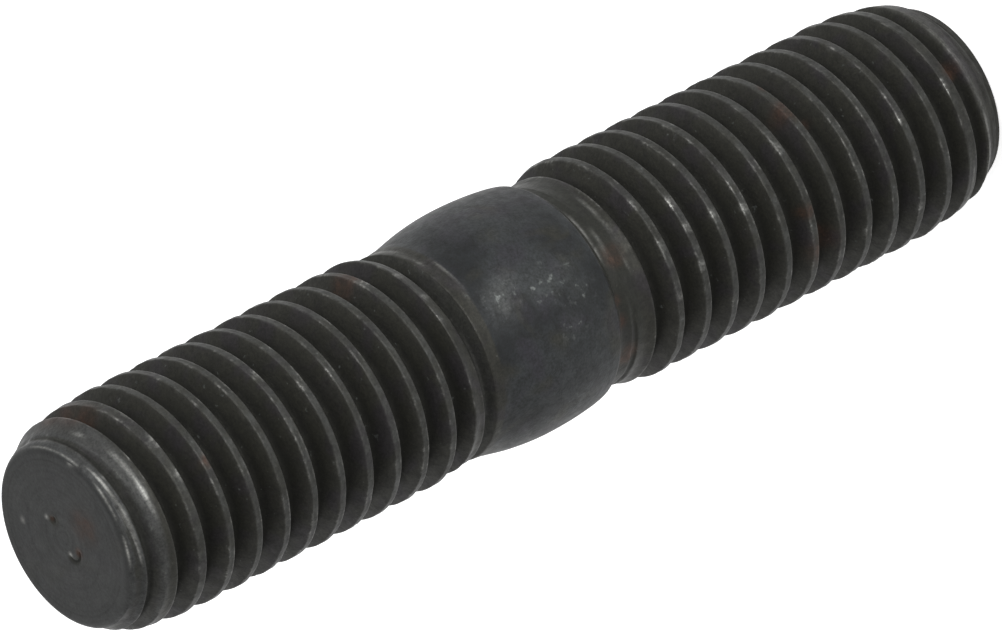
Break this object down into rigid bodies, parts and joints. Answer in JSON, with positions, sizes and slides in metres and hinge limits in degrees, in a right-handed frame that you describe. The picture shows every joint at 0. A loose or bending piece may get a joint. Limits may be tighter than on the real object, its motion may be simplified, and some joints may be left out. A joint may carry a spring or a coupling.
{
  "type": "wheel stud",
  "caption": "double-ended M10 wheel stud with a rolled right-hand thread on each end and a plain barrel collar between them",
  "frame": {"origin": "middle of the nut end's flat face, which the stud stands on", "axes": "+Z along the stud from the nut end to the hub end; -Y is the side that faces the picture's viewer"},
  "size_m": [0.0102, 0.0102, 0.0481],
  "materials": {
    "dark_steel": "dark oxide over turned and rolled steel, worn brighter on the thread crests"
  },
  "bodies": {
    "root": {"stud": "dark_steel"}
  },
  "joints": []
}
